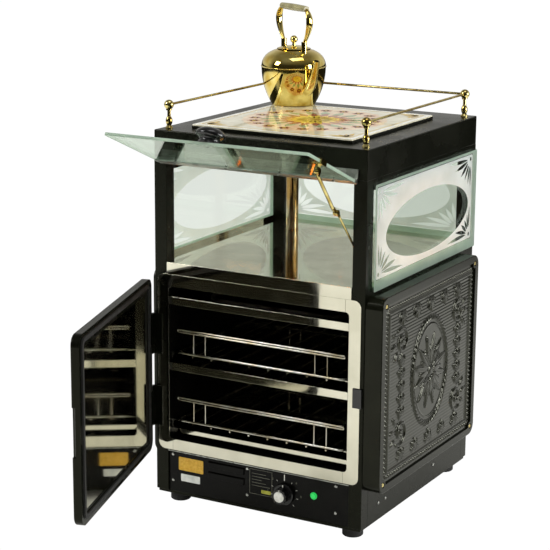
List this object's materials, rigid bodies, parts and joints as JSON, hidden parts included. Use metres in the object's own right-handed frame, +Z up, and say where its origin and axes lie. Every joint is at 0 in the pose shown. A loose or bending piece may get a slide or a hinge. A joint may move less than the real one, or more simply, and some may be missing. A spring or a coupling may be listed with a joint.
{
  "type": "baked potato oven",
  "caption": "Counter-top oven for baked potatoes with a hinged door, wire racks on runners, a lit display case under a stayed glass flap, and a steam kettle on a railed roof.",
  "frame": {"origin": "on the surface the feet stand on, under the middle of the cabinet", "axes": "+Z up, -Y towards the front where the door and the flap open, +X to the right seen from the front"},
  "size_m": [0.4976, 0.9379, 0.951],
  "materials": {
    "black_enamel": "satin black enamel",
    "black_chassis": "matt black paint",
    "bright_steel": "polished stainless sheet",
    "bare_steel": "galvanised sheet",
    "polished_brass": "polished and lacquered brass",
    "chromed_wire": "chromed wire",
    "display_glass": "etched clear glass",
    "flap_glass": "toughened clear glass",
    "picture_tile": "glossy printed tile",
    "relief_cast": "black cast relief",
    "door_black": "gloss black enamel",
    "black_plastic": "black phenolic",
    "oven_enamel": "black vitreous enamel",
    "control_face": "gloss black panel",
    "green_lens": "green lens",
    "silver_cap": "spun aluminium",
    "rubber_feet": "black rubber",
    "seal_rubber": "silicone seal",
    "mineral_wool": "mineral wool",
    "element_sheath": "dull element sheath",
    "lamp_glass": "warm lamp tube",
    "ceramic_white": "glazed ceramic",
    "grip_pale": "pale turned grip",
    "terminal_nylon": "natural nylon",
    "screw_steel": "plated steel"
  },
  "bodies": {
    "cabinet": {"base_tray": "black_chassis", "feet": "rubber_feet", "corner_posts": "black_enamel", "frame_rails": "black_enamel", "case_sheets": "black_enamel", "roof_box": "black_enamel", "ceiling_panel": "bright_steel", "display_tray": "bright_steel", "display_glasses": "display_glass", "lamp_fitting": "bare_steel", "lamp_bulb": "lamp_glass", "oven_liner": "oven_enamel", "oven_insulation": "mineral_wool", "oven_deck": "bare_steel", "heating_elements": "element_sheath", "door_surround": "bright_steel", "oven_shelves": "bright_steel", "floor_plate": "bright_steel", "rack_runners": "bright_steel", "flue_pipe": "bright_steel", "flue_collar": "polished_brass", "top_board": "black_enamel", "picture_tile": "picture_tile", "gallery_posts": "polished_brass", "gallery_rails": "polished_brass", "relief_panel_right": "relief_cast", "relief_panel_left": "relief_cast", "relief_screws": "polished_brass", "control_panel": "control_face", "thermostat": "bare_steel", "neon_lamp": "green_lens", "case_screws": "screw_steel", "cable_gland": "black_plastic", "terminal_block": "terminal_nylon", "door_hinge_fixed": "black_chassis", "door_catch": "black_plastic", "flap_hinge_fixed": "bare_steel", "stay_post_plate": "polished_brass"},
    "door": {"door_shell": "door_black", "door_wool": "mineral_wool", "door_inner_panel": "bright_steel", "door_seal": "seal_rubber", "door_striker": "bright_steel", "door_hinge_moving": "black_chassis"},
    "flap": {"flap_glass": "flap_glass", "flap_hinge_moving": "bare_steel", "flap_bolts": "screw_steel", "flap_knob": "black_plastic", "stay_bracket": "polished_brass"},
    "stay_upper": {"stay_tube": "polished_brass"},
    "stay_lower": {"stay_rod": "polished_brass"},
    "rack_upper": {"upper_rack": "chromed_wire"},
    "rack_lower": {"lower_rack": "chromed_wire"},
    "knob": {"thermostat_knob": "black_plastic", "knob_cap": "silver_cap"},
    "kettle": {"kettle_body": "polished_brass", "kettle_handle": "polished_brass", "kettle_grip": "grip_pale"},
    "lid": {"kettle_lid": "polished_brass"}
  },
  "joints": [
    {"name": "door_hinge", "type": "hinge", "parent": "cabinet", "child": "door", "pos_m": [-0.2305, -0.2535, 0.27], "axis": [0, 0, -1], "range_deg": [-73, 32]},
    {"name": "flap_hinge", "type": "hinge", "parent": "cabinet", "child": "flap", "pos_m": [0, -0.249, 0.682], "axis": [-1, 0, 0], "range_deg": [-112.8, 0]},
    {"name": "stay_lower_pivot", "type": "hinge", "parent": "cabinet", "child": "stay_lower", "pos_m": [0.1944, -0.221, 0.55], "axis": [-1, 0, 0], "range_deg": [-0.5, 53.71]},
    {"name": "stay_upper_pivot", "type": "hinge", "parent": "flap", "child": "stay_upper", "pos_m": [0.1905, -0.37039, 0.71838], "axis": [-1, 0, 0], "range_deg": [-8.73, 0.5]},
    {"name": "upper_rack_slide", "type": "slide", "parent": "cabinet", "child": "rack_upper", "axis": [0, -1, 0], "range_m": [0, 0.13]},
    {"name": "lower_rack_slide", "type": "slide", "parent": "cabinet", "child": "rack_lower", "axis": [0, -1, 0], "range_m": [0, 0.13]},
    {"name": "thermostat_turn", "type": "hinge", "parent": "cabinet", "child": "knob", "pos_m": [0.0602, -0.243, 0.0656], "axis": [0, -1, 0], "range_deg": [-270, 0]},
    {"name": "kettle_lift", "type": "slide", "parent": "cabinet", "child": "kettle", "axis": [0, 0, 1], "range_m": [0, 0.1]},
    {"name": "lid_lift", "type": "slide", "parent": "kettle", "child": "lid", "axis": [0, 0, 1], "range_m": [0, 0.035]}
  ],
  "couplings": [
    {"joint": "stay_lower_pivot", "follows": "flap_hinge", "ratio": -0.47173},
    {"joint": "stay_upper_pivot", "follows": "flap_hinge", "ratio": 0.07295}
  ]
}
